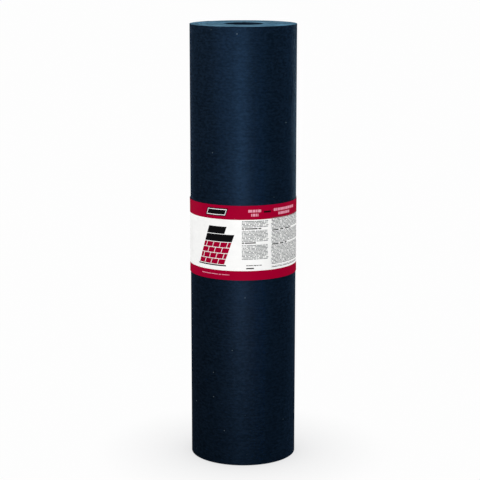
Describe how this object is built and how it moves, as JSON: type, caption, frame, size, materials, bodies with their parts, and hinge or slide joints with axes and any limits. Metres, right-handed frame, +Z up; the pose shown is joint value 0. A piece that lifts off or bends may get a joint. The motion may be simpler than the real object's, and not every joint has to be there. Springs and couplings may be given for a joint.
{
  "type": "roll of roofing felt",
  "caption": "Upright roll of asphalt-saturated roofing felt, wound round an open bore and held closed by a printed paper band about its middle.",
  "frame": {"origin": "on the roll's axis, in the plane of its lower end", "axes": "+Z up along the bore, -Y towards the printed side of the band, +Y towards the band's glued lap"},
  "size_m": [0.2232, 0.2235, 0.9154],
  "materials": {
    "saturated_felt": "matte",
    "printed_paper": "satin"
  },
  "bodies": {
    "root": {"felt_roll": "saturated_felt", "paper_band": "printed_paper"}
  },
  "joints": []
}
